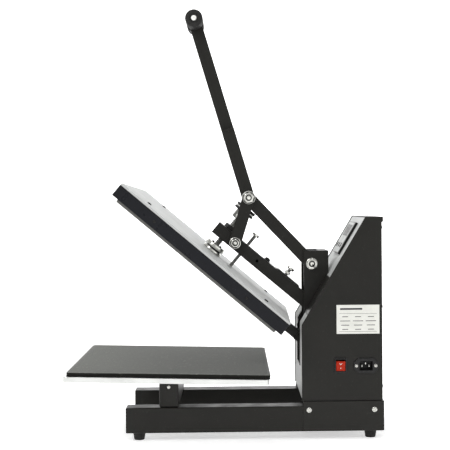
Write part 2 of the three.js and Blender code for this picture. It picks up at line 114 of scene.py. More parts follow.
# ---- materials ----
class Shader:
    """A Principled material with small helpers for procedural detail in object space."""

    def __init__(self, name, color, roughness, metallic=0.0, **inputs):
        self.material = bpy.data.materials.new(name)
        self.material.use_nodes = True
        self.nodes = self.material.node_tree.nodes
        self.links = self.material.node_tree.links
        self.principled = self.nodes["Principled BSDF"]
        self.material.diffuse_color = (*color, 1)
        self.set("Base Color", (*color, 1))
        self.set("Roughness", roughness)
        self.set("Metallic", metallic)
        for key, value in inputs.items():
            self.set(key.replace("_", " "), value)
        self.place = self.nodes.new("ShaderNodeTexCoord").outputs["Object"]
        self.height = None

    def set(self, socket, value):
        self.principled.inputs[socket].default_value = value

    def stretched(self, scale):
        """Object coordinates scaled differently along each axis."""
        mapping = self.nodes.new("ShaderNodeMapping")
        mapping.inputs["Scale"].default_value = scale
        self.links.new(self.place, mapping.inputs["Vector"])
        return mapping.outputs["Vector"]

    def noise(self, per_metre, detail=4.0, coordinates=None):
        texture = self.nodes.new("ShaderNodeTexNoise")
        texture.inputs["Scale"].default_value = per_metre
        texture.inputs["Detail"].default_value = detail
        self.links.new(coordinates or self.place, texture.inputs["Vector"])
        return texture.outputs["Fac"]

    def cells(self, per_metre):
        texture = self.nodes.new("ShaderNodeTexVoronoi")
        texture.inputs["Scale"].default_value = per_metre
        self.links.new(self.place, texture.inputs["Vector"])
        return texture.outputs["Distance"]

    def ramp(self, value, low, high, from_low=0.3, from_high=0.7):
        """value's range from_low to from_high, spread over low to high."""
        node = self.nodes.new("ShaderNodeMapRange")
        limits = {"From Min": from_low, "From Max": from_high, "To Min": low, "To Max": high}
        for key, number in limits.items():
            node.inputs[key].default_value = number
        self.links.new(value, node.inputs["Value"])
        return node.outputs["Result"]

    def vary_color(self, value, other, from_low=0.3, from_high=0.7):
        """Blends what the base colour is now towards another colour, by a value."""
        mix = self.nodes.new("ShaderNodeMix")
        mix.data_type = "RGBA"
        self.links.new(self.ramp(value, 0, 1, from_low, from_high), mix.inputs["Factor"])
        base = self.principled.inputs["Base Color"]
        if base.is_linked:
            self.links.new(base.links[0].from_socket, mix.inputs["A"])
        else:
            mix.inputs["A"].default_value = base.default_value
        mix.inputs["B"].default_value = (*other, 1)
        self.links.new(mix.outputs["Result"], base)
        return self

    def vary_roughness(self, value, low, high):
        self.links.new(self.ramp(value, low, high), self.principled.inputs["Roughness"])
        return self

    def bump(self, value, depth, strength=1.0):
        """Adds relief of that depth in metres on top of any relief already there."""
        node = self.nodes.new("ShaderNodeBump")
        node.inputs["Distance"].default_value = depth
        node.inputs["Strength"].default_value = strength
        self.links.new(value, node.inputs["Height"])
        if self.height is not None:
            self.links.new(self.height, node.inputs["Normal"])
        self.height = node.outputs["Normal"]
        self.links.new(self.height, self.principled.inputs["Normal"])
        return self


def tinted(color, factor):
    """A lighter or darker shade of a colour."""
    return [channel * factor for channel in color]


def enamel(name, color, scuff, roughness, peel, mottle=1.35, **inputs):
    """Baked enamel: a fine orange peel, slow patches of shade and sheen, and specks of scuff colour."""
    shader = Shader(name, color, roughness, **inputs)
    shader.vary_color(shader.noise(9, 6), tinted(color, mottle))
    shader.vary_color(shader.noise(420, 2), scuff, 0.66, 0.8)
    shader.vary_roughness(shader.noise(35, 5), roughness - 0.07, roughness + 0.09)
    return shader.bump(shader.noise(950, 2), peel, 0.5).bump(shader.noise(60, 3), peel * 2, 0.25)


def brushed(name, color, roughness, lines, **inputs):
    """Bare metal with fine lines left by a belt or cutter, and patches of handling."""
    shader = Shader(name, color, roughness, 1.0, **inputs)
    grain = shader.noise(40, 6, shader.stretched(lines))
    shader.vary_roughness(grain, roughness - 0.08, roughness + 0.12)
    shader.vary_color(shader.noise(22, 5), tinted(color, 0.86))
    return shader.bump(grain, 0.00002, 0.35)


def sponge(name, color, sheen):
    """Silicone sponge: open pores, rubbed lighter in slow patches."""
    shader = Shader(name, color, 0.92, Sheen_Weight=sheen, Sheen_Roughness=0.6, Specular_IOR_Level=0.2)
    shader.vary_color(shader.noise(6, 6), tinted(color, 1.3))
    shader.vary_color(shader.cells(780), tinted(color, 0.55), 0.05, 0.34)
    shader.vary_color(shader.noise(160, 3), tinted(color, 1.9), 0.6, 0.85)
    return shader.bump(shader.cells(780), 0.00025, 0.6).bump(shader.noise(120, 4), 0.0002, 0.4)


def rubber():
    """Moulded rubber with a matt, slightly dusty skin."""
    shader = Shader("moulded_rubber", (0.0075, 0.0073, 0.0068), 0.6, Specular_IOR_Level=0.25)
    shader.vary_roughness(shader.noise(80, 5), 0.5, 0.75)
    shader.vary_color(shader.noise(240, 3), (0.016, 0.016, 0.015))
    return shader.bump(shader.noise(1400, 3), 0.00006, 0.5)


def plastic(name, color, roughness, **inputs):
    """Moulded plastic with a fine spark-eroded grain."""
    shader = Shader(name, color, roughness, **inputs)
    shader.vary_roughness(shader.noise(120, 4), roughness - 0.05, roughness + 0.08)
    shader.vary_color(shader.noise(45, 4), tinted(color, 1.25))
    return shader.bump(shader.noise(1800, 2), 0.00002, 0.5)


def fibre_board():
    """Coarse mineral fibre, mottled by its fibres."""
    shader = Shader("mineral_fibre", (0.6, 0.56, 0.45), 0.9)
    shader.vary_color(shader.noise(300, 6), (0.42, 0.38, 0.29))
    return shader.bump(shader.noise(600, 6), 0.0002, 0.8)


def label_film():
    """White film with a thin gloss coat, not quite flat."""
    shader = Shader("label_film", (0.7, 0.7, 0.655), 0.38, Coat_Weight=0.3, Coat_Roughness=0.2)
    shader.vary_color(shader.noise(70, 5), (0.64, 0.64, 0.595))
    return shader.bump(shader.noise(90, 2), 0.00003, 0.3)


# Each of the record's material slots.
LOOKS = {
    "black_paint": enamel(
        "black_enamel", (0.0088, 0.0084, 0.0068), scuff=(0.03, 0.029, 0.026), roughness=0.38, peel=0.00004,
        Specular_IOR_Level=0.22),
    "band_paint": enamel(
        "band_enamel", (0.0052, 0.0056, 0.0076), scuff=(0.028, 0.03, 0.04), roughness=0.32, peel=0.00005,
        Specular_IOR_Level=0.2),
    "silver_paint": enamel(
        "silver_enamel", (0.43, 0.438, 0.43), scuff=(0.34, 0.34, 0.32), roughness=0.5, peel=0.00003,
        mottle=1.07, Specular_IOR_Level=0.2),
    "non_stick": enamel(
        "non_stick_coating", (0.1, 0.1, 0.092), scuff=(0.2, 0.2, 0.18), roughness=0.5, peel=0.00003),
    "aluminium": brushed("milled_aluminium", (0.72, 0.73, 0.71), 0.36, (1, 34, 1)),
    "zinc": brushed("bright_zinc", (0.6, 0.595, 0.56), 0.24, (8, 8, 30)),
    "rubber": rubber(),
    "foam": sponge("foam_sponge", (0.106, 0.113, 0.092), 0.2),
    "black_plastic": plastic("black_moulding", (0.007, 0.007, 0.007), 0.38, Specular_IOR_Level=0.3),
    "red_plastic": plastic("red_moulding", (0.29, 0.013, 0.002), 0.3, Specular_IOR_Level=0.15),
    "label_film": label_film(),
    "board": fibre_board(),
}
WHITE_PLASTIC = plastic("white_moulding", (0.74, 0.74, 0.71), 0.35)
INK = plastic("printed_ink", (0.03, 0.03, 0.032), 0.5)
DARK_METAL = brushed("blackened_steel", (0.035, 0.035, 0.034), 0.4, (10, 10, 10))
# Painted shade: a darker copy of the sponge for the pad's upright sides.
FOAM_SIDE_SHADE = sponge("foam_side_painted_shade", (0.012, 0.012, 0.01), 0.0)
# Painted highlight: a lighter copy of the sponge for the pad's rounded top edge.
FOAM_EDGE_HIGHLIGHT = sponge("foam_edge_painted_highlight", (0.17, 0.175, 0.155), 0.2)
SHAFT = brushed("oiled_steel", (0.24, 0.24, 0.225), 0.28, (6, 6, 60))
UNLIT = plastic("unlit_figures", (0.07, 0.055, 0.05), 0.3)
STEEL = brushed("turned_steel", (0.66, 0.66, 0.62), 0.2, (4, 4, 60))


# ---- outlines and profiles, in millimetres ----
def filleted(profile, radius, closed=False):
    """The same profile with each corner swapped for a short curve."""
    points = [Vector(p) for p in profile]
    count = len(points)
    made = []
    for i, corner in enumerate(points):
        if not closed and i in (0, count - 1):
            made.append(corner)
            continue
        before, after = points[i - 1], points[(i + 1) % count]
        reach_in = min(radius, (before - corner).length * 0.45)
        reach_out = min(radius, (after - corner).length * 0.45)
        start = corner + (before - corner).normalized() * reach_in
        end = corner + (after - corner).normalized() * reach_out
        made += [start.lerp(corner, t).lerp(corner.lerp(end, t), t) for t in (0, 0.33, 0.67, 1)]
    return made


def rod_profile(radius, low, high, chamfer=0.8):
    """A plain rod with chamfered ends."""
    end = radius - chamfer
    return [(end, low), (radius, low + chamfer), (radius, high - chamfer), (end, high)]


def ring_profile(inner, outer, low, high):
    """A plain ring, for a closed turning."""
    return [(inner, low), (outer, low), (outer, high), (inner, high)]


def hexagon(half_flats):
    """A section that limits a turned piece to six flats."""
    def section(radius, angle, _height):
        turn = (angle % (math.tau / 6)) - math.tau / 12
        return min(radius, half_flats / math.cos(turn))
    return section


def hexagon_corner(half_flats):
    """Radius of a hexagon's corners."""
    return half_flats / math.cos(math.pi / 6)


def rounded_rectangle(half_x, half_y, radius, arc=6):
    """Points round a rectangle with round corners, anticlockwise."""
    points = []
    for quarter, (sx, sy) in enumerate(((1, 1), (-1, 1), (-1, -1), (1, -1))):
        for i in range(arc + 1):
            angle = math.pi / 2 * (quarter + i / arc)
            x = sx * (half_x - radius) + radius * math.cos(angle)
            y = sy * (half_y - radius) + radius * math.sin(angle)
            points.append((x, y))
    return points


def subdivided(outline, longest):
    """The same closed outline with more points, no further apart than longest."""
    made = []
    for i, start in enumerate(outline):
        end = outline[(i + 1) % len(outline)]
        parts = max(1, math.ceil(math.dist(start, end) / longest))
        made += [tuple(a + (b - a) * k / parts for a, b in zip(start, end)) for k in range(parts)]
    return made


# ---- mesh builders ----
def piece(name, vertices, faces, body, slot, look=None, sharp=32):
    """A smooth-shaded mesh that rides on a CAD body, with edges over sharp degrees kept crisp."""
    mesh = bpy.data.meshes.new(name)
    mesh.from_pydata([tuple(v) for v in vertices], [], faces)
    mesh.update()
    mesh.polygons.foreach_set("use_smooth", [True] * len(mesh.polygons))
    mesh.set_sharp_from_angle(angle=math.radians(sharp))
    mesh.materials.append((look or LOOKS[slot]).material)
    thing = bpy.data.objects.new(name, mesh)
    bpy.context.scene.collection.objects.link(thing)
    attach(thing, body)
    return thing


def strips(rows, count, wrapped=False):
    """Quads joining rows of count points each into a tube, the last row joined to the first if wrapped."""
    faces = []
    for i in range(rows if wrapped else rows - 1):
        j = (i + 1) % rows
        for k in range(count):
            m = (k + 1) % count
            faces.append((i * count + k, i * count + m, j * count + m, j * count + k))
    return faces


def capped(rows, count):
    """A tube of strips with a face over each end."""
    first = tuple(reversed(range(count)))
    last = tuple((rows - 1) * count + k for k in range(count))
    return [*strips(rows, count), first, last]


def revolved(rings, steps, at, section=None):
    """Vertices of (radius, height) rings about Z. section(radius, angle, height) may reshape each ring."""
    vertices = []
    for radius, height in rings:
        for k in range(steps):
            angle = math.tau * k / steps
            r = section(radius, angle, height) if section else radius
            vertices.append(at @ (Vector((r * math.cos(angle), r * math.sin(angle), height)) * MM))
    return vertices


def turned(name, profile, at, body, slot, look=None, steps=64, fillet=0.4, closed=False, section=None):
    """A piece turned about Z from (radius, height) pairs, listed from the foot, round the outside."""
    rings = filleted(profile, fillet, closed)
    faces = strips(len(rings), steps, wrapped=True) if closed else capped(len(rings), steps)
    return piece(name, revolved(rings, steps, at, section), faces, body, slot, look)


def threaded(name, radius, pitch, low, high, at, body, look, steps=36):
    """A rod with a real helical thread that runs out at both ends."""
    depth = 0.32 * pitch
    rows = max(2, round((high - low) / pitch * 6))

    def helix(r, angle, height):
        phase = (height / pitch - angle / math.tau) % 1
        fade = min(1, (height - low) / pitch, (high - height) / pitch)
        return r - depth * abs(2 * phase - 1) - (1 - max(fade, 0)) * depth * 0.6

    rings = [(radius, low + (high - low) * i / rows) for i in range(rows + 1)]
    vertices = revolved(rings, steps, at, helix)
    return piece(name, vertices, capped(len(rings), steps), body, "zinc", look, sharp=80)


def cross_head(name, radius, height, at, body, look=None, reach=0.56):
    """A domed screw head with a cross recess pressed into it, its arms reach times the radius long."""
    steps = 56
    rings = 16
    slot_half = radius * 0.13
    vertices = []
    for i in range(rings + 1):
        share = i / rings
        r = radius * share
        dome = height * (1 - share ** 2.6) ** 0.5
        for k in range(steps):
            angle = math.tau * k / steps
            x, y = r * math.cos(angle), r * math.sin(angle)
            in_cross = min(abs(x), abs(y)) < slot_half and max(abs(x), abs(y)) < radius * reach
            z = dome - (height * 0.55 if in_cross else 0)
            vertices.append(at @ (Vector((x, y, z)) * MM))
    faces = [tuple(reversed(face)) for face in strips(rings + 1, steps)]
    return piece(name, vertices, faces, body, "zinc", look, sharp=40)


def slab(name, size, radius, at, body, slot, look, soften):
    """A block centred on a place, with round upright corners and softened edges."""
    half_x, half_y, half_z = (s / 2 for s in size)
    outline = rounded_rectangle(half_x, half_y, radius)
    levels = [(-half_z, soften), (soften - half_z, 0), (half_z - soften, 0), (half_z, soften)]
    vertices = []
    for z, inset in levels:
        for x, y in outline:
            corner = Vector((x * (1 - inset / half_x), y * (1 - inset / half_y), z))
            vertices.append(at @ (corner * MM))
    return piece(name, vertices, capped(len(levels), len(outline)), body, slot, look, sharp=50)


def weld_bead(name, axes, start, end, body, radius=1.5):
    """A rippled bead from start to end within axes."""
    start, end = Vector(start), Vector(end)
    length = (end - start).length
    rows = max(8, round(length / 0.7))
    steps = 12
    along = (end - start).normalized()
    side = along.orthogonal().normalized()
    up = along.cross(side)
    vertices = []
    for i in range(rows + 1):
        t = i / rows
        taper = min(1, 6 * t, 6 * (1 - t)) ** 0.5 if 0 < t < 1 else 0.05
        r = radius * taper * (1 + 0.12 * math.sin(i * 2.1))
        for k in range(steps):
            angle = math.tau * k / steps
            point = start + along * length * t + (side * math.cos(angle) + up * math.sin(angle)) * r
            vertices.append(axes @ (point * MM))
    piece(name, vertices, strips(rows + 1, steps), body, "black_paint", sharp=70)


# ---- CAD nodes that stay in view ----
def dress(node, soften):
    """Welds a node, makes its flat faces whole and rounds its edges by soften millimetres."""
    thing = NODES[node]
    thing.data.polygons.foreach_set("use_smooth", [True] * len(thing.data.polygons))
    weld = thing.modifiers.new("weld", "WELD")
    weld.merge_threshold = 0.00001
    flats = thing.modifiers.new("flats", "DECIMATE")
    flats.decimate_type = "DISSOLVE"
    flats.angle_limit = math.radians(1)
    bevel = thing.modifiers.new("edges", "BEVEL")
    bevel.width = soften * MM
    bevel.segments = 3
    bevel.limit_method = "ANGLE"
    bevel.angle_limit = math.radians(35)
    normals = thing.modifiers.new("normals", "WEIGHTED_NORMAL")
    normals.keep_sharp = True


def dress_cad_nodes():
    """Softened edges and a finish for each node."""
    slots = {row["node"]: row["material_slot"] for row in frame["record"]["subparts"]}
    usual = 0.7
    softness = {
        "handle_tube": 2.2, "arm_tube": 1.5, "base_rail_near": 2.0, "base_rail_far": 2.0,
        "platen_support": 2.5, "lower_platen": 0.9, "heating_plate": 0.9, "insulation_board": 0.3,
        "platen_band": 0.5, "platen_cover": 0.35, "front_panel": 0.35, "rear_cover": 0.35,
        "side_panel_near": 0.4, "side_panel_far": 0.4, "rating_label": 0.1, "display_window": 0.2,
        "controller_face": 0.3, "controller_case": 1.2, "power_inlet": 0.6, "switch_housing": 0.5,
        "power_rocker": 0.6,
    }
    for node, thing in NODES.items():
        dress(node, softness.get(node, usual))
        thing.data.materials.clear()
        thing.data.materials.append(LOOKS[slots[node]].material)


# ---- feet and pad ----
def make_feet():
    """Tapered rubber feet with a dished underside."""
    for node in ("foot_front_near", "foot_front_far", "foot_rear_near", "foot_rear_far"):
        low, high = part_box(node)
        centre = middle(node)
        height = (high.z - low.z) / MM
        top = (high.x - low.x) / 2 / MM
        profile = [
            (4, 3), (5, 0.8), (7, 0), (9.6, 0), (10.2, 2),
            (top - 0.6, height - 2.5), (top, height - 1.5), (top, height), (3, height),
        ]
        at = place((centre.x, centre.y, low.z), (0, 0, 1), (1, 0, 0))
        foot = turned(f"{node}_bumper", profile, at, "press", "rubber", fillet=0.6)
        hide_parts(node)


def make_pad():
    """The sponge pad: flat on the lower platen, its top faintly crowned, its sides drawn in mid-length."""
    edge = 1.6              # radius of the top edge
    corner = 7              # radius of the upright corners
    longest_step = 9        # along the outline
    crown = 0.3             # rise of the top's middle above its rim
    rim_drop = 0.35         # of the rim below the pad's full height
    draw_in = 0.35          # of the sides, half-way between the corners
    ripple_height = 0.16
    ripple_length = 55
    centre = Vector((middle("foam_pad").x, 0, middle("foam_pad").z))
    at = place(centre, (math.sin(PAD_TILT), 0, math.cos(PAD_TILT)), (1, 0, 0))
    low, high = span("foam_pad", at)
    half_x, half_y = (high.x - low.x) / 2, (high.y - low.y) / 2
    at = on(at, (low.x + high.x) / 2, 0, 0)
    thickness = high.z - low.z

    def sponge_point(x, y, inset, z):
        x, y = x * (1 - inset / half_x), y * (1 - inset / half_y)
        rise, draw = 0, 0
        if z >= thickness:
            swell = math.cos(x / half_x * math.pi / 2) * math.cos(y / half_y * math.pi / 2)
            wave = noise.noise(Vector((x / ripple_length, y / ripple_length, 2.5)))
            rise = min(crown * swell - rim_drop + (ripple_height * wave if inset > 4 else 0), 0)
        if inset < 1:
            draw = draw_in * (1 - abs(x * y) / (half_x * half_y))
        return at @ (Vector((x * (1 - draw / half_x), y * (1 - draw / half_y), low.z + z + rise)) * MM)

    outline = subdivided(rounded_rectangle(half_x, half_y, corner), longest_step)
    wall = [(0.25, 0), (0, 0.5), (0.45, thickness * 0.45), (0, thickness - edge)]
    rounding = [
        (edge * (1 - math.cos(a)), thickness - edge * (1 - math.sin(a))) for a in (0.4, 0.8, 1.2, math.pi / 2)
    ]
    top = [(inset, thickness) for inset in (5, 12, 24, 40, 60, 84, 110, 138, 165, 186)]
    rings = wall + rounding + top
    vertices = [sponge_point(x, y, inset, z) for inset, z in rings for x, y in outline]
    pad = piece("sponge_pad", vertices, capped(len(rings), len(outline)), "press", "foam", sharp=60)
    # The upright sides take a darkened sponge as painted shade.
    pad.data.materials.append(FOAM_SIDE_SHADE.material)
    # The rounded top edge takes a lightened sponge as a painted highlight.
    pad.data.materials.append(FOAM_EDGE_HIGHLIGHT.material)
    for polygon in pad.data.polygons:
        strip = polygon.index // len(outline)
        if strip < len(wall):
            polygon.material_index = 1
        elif strip < len(wall + rounding):
            polygon.material_index = 2
    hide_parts("foam_pad")


# ---- linkage ----
def nut(name, centre, side, body, rim, flats, radius, washer_look):
    """A washer, a hex nut and a bolt's thread end on one side of the linkage, of radii rim, flats, radius, with
    painted shade as dark rings under the nut and round its hole.
    """
    at = place((centre.x, side * WASHER_FACE * MM, centre.z), (0, side, 0), (0.3, 0, 1))
    corner = hexagon_corner(flats)
    washer = [(rim - 0.4, 0), (rim, 0.4), (rim, 1.2), (rim - 0.9, 1.6)]
    turned(f"{name}_washer", washer, at, body, "zinc", washer_look, fillet=0.3)
    # Painted shade: a thin dark disc in the gap between the washer and the nut.
    turned(f"{name}_face", [(rim - 1.5, 1.4), (rim - 1.5, 1.75)], at, body, "zinc", DARK_METAL)
    sides = [(corner - 1.2, 1.7), (corner, 2.3), (corner, 7.2), (flats - 0.3, 8)]
    turned(f"{name}_nut", sides, at, body, "zinc", STEEL, steps=72, fillet=0.2, section=hexagon(flats))
    # Painted shade: a dark ring round the bolt's hole on top of the nut.
    hole_painted_shade = [(radius * 0.7, 7.4), (radius * 1.26, 7.4), (radius * 1.2, 8.3), (radius * 0.7, 8.2)]
    turned(f"{name}_seat", hole_painted_shade, at, body, "zinc", DARK_METAL, fillet=0.2, closed=True)
    threaded(f"{name}_thread", radius * 0.82, 1.5, 6, 9.6, at, body, STEEL)


def pivot(name, node, body, rim, flats, washer_look):
    """A through bolt: a shank, and a nut at each end."""
    centre = middle(node)
    reach = WASHER_FACE + 2
    shank = turned(f"{name}_shank", rod_profile(SHANK, -reach, reach), crosswise(centre), body, "zinc", SHAFT)
    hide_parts(node)
    for label, side in SIDES.items():
        nut(f"{name}_{label}", centre, side, body, rim, flats, 5.2, washer_look)


def make_pivots():
    """The lever's bolts, the links' stub bolts, and plastic spacers between lever and links."""
    pivot("lever_pivot", "lever_pivot_bolt", "press", 11.6, 9.8, STEEL)
    pivot("elbow", "elbow_bolt", "lever", 12.8, 9.6, SHAFT)
    elbow = hinge_at("link_swing")
    gap_middle = (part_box("lever_plate_far")[1].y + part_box("link_far")[0].y) / 2
    for label, side in SIDES.items():
        node = f"link_bolt_{label}"
        centre = middle(node)
        inner = min(abs(edge.y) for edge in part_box(node)) / MM
        stub = rod_profile(SHANK, inner, WASHER_FACE + 2)
        at = crosswise((centre.x, 0, centre.z), side)
        shank = turned(f"link_foot_{label}_shank", stub, at, "link", "zinc", SHAFT)
        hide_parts(node)
        nut(f"link_foot_{label}", centre, side, "link", 11.4, 7.8, 4.8, STEEL)
        spacer = ring_profile(6.4, 13.6, -0.3, 0.3)
        at = crosswise((elbow.x, side * gap_middle, elbow.z))
        turned(f"elbow_spacer_{label}", spacer, at, "lever", "zinc", WHITE_PLASTIC, fillet=0.1, closed=True)


def make_hinge_axle():
    """The main hinge's axle, with a retaining clip near each end."""
    centre = middle("hinge_axle")
    radius = 8
    clip_inset = 2.6
    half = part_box("hinge_axle")[1].y / MM
    rod = rod_profile(radius, -half, half, 1.2)
    axle = turned("hinge_axle_bar", rod, crosswise(centre), "press", "zinc", STEEL)
    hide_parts("hinge_axle")
    clip = ring_profile(radius - 0.8, radius + 3, -0.6, 0.6)
    for label, side in SIDES.items():
        at = crosswise((centre.x, side * (half - clip_inset) * MM, centre.z), side)
        turned(f"axle_clip_{label}", clip, at, "press", "zinc", DARK_METAL, fillet=0.2, closed=True)


def make_grips():
    """Rubber sleeves ringed with grooves, on one rod that a ring and a screw close at each end."""
    grooves = 9
    first_groove = 6        # from the sleeve's inner end
    groove_pitch = 4
    groove_depth = 0.5
    centre = middle("grip_bolt")
    for label, side in SIDES.items():
        node = f"grip_{label}"
        low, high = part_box(node)
        inner, outer = sorted((abs(low.y) / MM, abs(high.y) / MM))
        radius = (high.z - low.z) / 2 / MM
        at = crosswise((centre.x, 0, centre.z), side)
        profile = [(6, inner), (radius - 1, inner), (radius, inner + 1.5)]
        for i in range(grooves):
            y = inner + first_groove + groove_pitch * i
            profile += [(radius, y - 0.7), (radius - groove_depth, y), (radius, y + 0.7)]
        profile += [(radius, outer - 2.5), (radius - 1.6, outer - 0.3)]
        profile += [(9.5, outer), (8.6, outer - 1), (6, outer - 1)]
        sleeve = turned(f"{node}_sleeve", profile, at, "lever", "rubber", steps=80, fillet=0.5)
        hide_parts(node)
        ring = ring_profile(6.2, 8.4, outer - 1.2, outer - 0.2)
        turned(f"{node}_ring", ring, at, "lever", "zinc", DARK_METAL, closed=True)
        head_at = on(at, 0, 0, outer - 0.2)
        cross_head(f"{node}_screw", 5.2, 2.6, head_at, "lever", WHITE_PLASTIC, reach=0.3)
    rod = turned("grip_rod", rod_profile(5, 2 - outer, outer - 2), crosswise(centre), "lever", "zinc", STEEL)
    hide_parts("grip_bolt")


# ---- arm and upper platen ----
def make_thrust_collar():
    """Two steel discs on a neck coloured dark as painted shade in the groove between them, through which the
    pressure screw pushes on the platen.
    """
    low, high = span("thrust_collar", SCREW)
    at = on(SCREW, 0, 0, low.z)
    top = high.z - low.z
    foot = [(SCREW_BORE, 0), (20.6, 0), (21, 0.4), (21, 4.6), (17.2, 5.2), (SCREW_BORE, 5.2)]
    lower = turned("collar_lower", foot, at, "platen", "zinc", STEEL, steps=96, closed=True)
    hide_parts("thrust_collar")
    # Painted shade: the neck between the discs takes dark steel.
    neck = ring_profile(SCREW_BORE, 16.6, 5.1, 7.8)
    turned("collar_neck", neck, at, "platen", "zinc", DARK_METAL, closed=True)
    head = [(SCREW_BORE, 7.7), (17.2, 7.7), (21.5, 8.2), (21.5, top - 1), (20.5, top), (SCREW_BORE, top)]
    turned("collar_upper", head, at, "platen", "zinc", STEEL, steps=96, closed=True)
    screws = 4
    circle = 13
    cap = [(2.6, 0), (2.6, 1.6), (1.4, 2), (1.2, 0.8)]
    for i in range(screws):
        angle = math.tau * (i + 0.5) / screws
        spot = on(at, circle * math.cos(angle), circle * math.sin(angle), top - 0.1)
        turned(f"collar_screw_{i}", cap, spot, "platen", "zinc", DARK_METAL, steps=32)


def socket_bolt(name, node, body, pitch=1.25):
    """A threaded bolt with a round socket head, in place of a CAD bolt that stands across the arm."""
    radius = 3.5
    head_height = 5
    low, high = span(node, ARM)
    at = on(ARM, (low.x + high.x) / 2, 0, 0)
    shaft = threaded(f"{name}_shaft", radius, pitch, low.z, high.z - head_height + 1, at, body, SHAFT)
    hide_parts(node)
    head = [(6.6, 0), (8, 0.5), (8, 4.2), (7.2, head_height), (3.6, head_height), (3.3, 2.4)]
    turned(f"{name}_head", head, on(at, 0, 0, high.z - head_height), body, "zinc", STEEL, steps=72)
    return at


def small_nut(name, at, half_flats, look):
    """A hex nut on the arm."""
    corner = hexagon_corner(half_flats)
    profile = [(half_flats, 0), (corner, 0.5), (corner, 4), (half_flats - 0.3, 4.6)]
    turned(name, profile, at, "arm", "zinc", look, steps=60, fillet=0.2, section=hexagon(half_flats))


def make_guides():
    """The guide bolt that slides through the arm, and the levelling screw and stud that the arm holds."""
    arm_top = span("arm_tube", ARM)[1].z - STRAP
    socket_bolt("guide", "guide_bolt", "platen")
    at = socket_bolt("leveller", "levelling_screw", "arm")
    small_nut("leveller_locknut", on(at, 0, 0, arm_top + 6), 5.2, STEEL)
    stud = on(ARM, STUD_AT, 0, arm_top)
    washer = [(7, 0), (7.5, 0.3), (7.5, 1.2), (5, 1.2)]
    turned("arm_stud_washer", washer, stud, "arm", "zinc", DARK_METAL, fillet=0.2)
    small_nut("arm_stud_nut", on(stud, 0, 0, 1), 5, DARK_METAL)
    threaded("arm_stud_thread", 2.8, 1, 3, 6.4, stud, "arm", DARK_METAL)


def make_pressure_screw():
    """The screw with its real thread, which runs up into the knob."""
    radius = 6
    pitch = 4
    low, high = span("pressure_screw", SCREW)
    top = high.z + 1
    screw = threaded("pressure_screw_thread", radius, pitch, low.z, top, SCREW, "knob", SHAFT, steps=48)
    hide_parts("pressure_screw")


def make_knob():
    """A steel hub under two fluted black discs, with a pale band between them."""
    hub_height = 18
    disc_height = 5         # of the lower disc
    band_height = 2.5
    overlap = 0.1           # of the band into each disc
    radius = 22
    band_radius = 20.4
    flutes = 18
    flute_depth = 0.9
    low, high = span("pressure_knob", SCREW)
    at = on(SCREW, 0, 0, low.z)
    top = high.z - low.z

    def fluted(r, angle, _height):
        return r - (flute_depth * max(0, math.cos(flutes * angle)) ** 2 if r > band_radius else 0)

    def disc(label, reach, start, end, look=None, section=None):
        profile = [(12, start), (reach - 0.8, start), (reach, start + 0.8)]
        profile += [(reach, end - 0.8), (reach - 0.8, end), (12, end)]
        turned(
            f"knob_disc_{label}", profile, at, "knob", "black_plastic", look, steps=144, fillet=0.5,
            section=section)

    profile = [(9, 0), (13.4, 0.4), (14.4, 1.4), (14.4, hub_height - 1), (13, hub_height + 0.4)]
    hub = turned("knob_hub", profile, at, "knob", "zinc", SHAFT)
    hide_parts("pressure_knob")
    band_low = hub_height + disc_height
    band_high = band_low + band_height
    disc("lower", radius, hub_height, band_low, section=fluted)
    disc("band", band_radius, band_low - overlap, band_high + overlap, look=WHITE_PLASTIC)
    disc("upper", radius, band_high, top, section=fluted)


def make_screw_nut():
    """The hex nut on the arm that the pressure screw turns in."""
    corner = 13
    low, high = span("screw_nut", ARM)
    tall = high.z - low.z
    at = on(ARM, (low.x + high.x) / 2, 0, low.z)
    profile = [
        (SCREW_BORE, 0), (corner - 1, 0), (corner, 0.7),
        (corner, tall - 0.8), (corner - 1.6, tall), (SCREW_BORE, tall),
    ]
    flats = hexagon(corner * math.cos(math.pi / 6))
    nut_piece = turned(
        "screw_nut_hex", profile, at, "arm", "zinc", DARK_METAL, steps=72, closed=True, fillet=0.3,
        section=flats)
    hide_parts("screw_nut")


# ---- screw heads ----
def tray_screws(label, side):
    """Two bright screws through each skirt of the chassis tray."""
    drop = 16.5             # below the skirt's top edge
    front_inset = 11.5
    rear_inset = 18.5
    low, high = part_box("chassis_tray")
    z = high.z - drop * MM
    for end, x in (("front", low.x + front_inset * MM), ("rear", high.x - rear_inset * MM)):
        at = place((x, side * high.y, z), (0, side, 0), (1, 0, 0.4))
        cross_head(f"tray_screw_{end}_{label}", 5.4, 2.3, at, "press", STEEL)


def case_screws(label, side):
    """The dark screws that hold the rear cover, and the front panel's lower end."""
    cover_heights, cover_inset = (100, 254, 407), 8
    panel_heights, panel_inset = (77, 115), 6
    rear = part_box("rear_cover")[1]
    for i, height in enumerate(cover_heights):
        at = place((rear.x, side * (rear.y - cover_inset * MM), height * MM), (1, 0, 0), (0, 1, 0))
        cross_head(f"cover_screw_{i}_{label}", 4, 2.2, at, "press", DARK_METAL)
    low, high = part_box("front_panel")
    for i, height in enumerate(panel_heights):
        at = place((low.x, side * (high.y - panel_inset * MM), height * MM), (-1, 0, 0), (0, 1, 0))
        cross_head(f"panel_screw_{i}_{label}", 3.2, 1.2, at, "press", DARK_METAL)


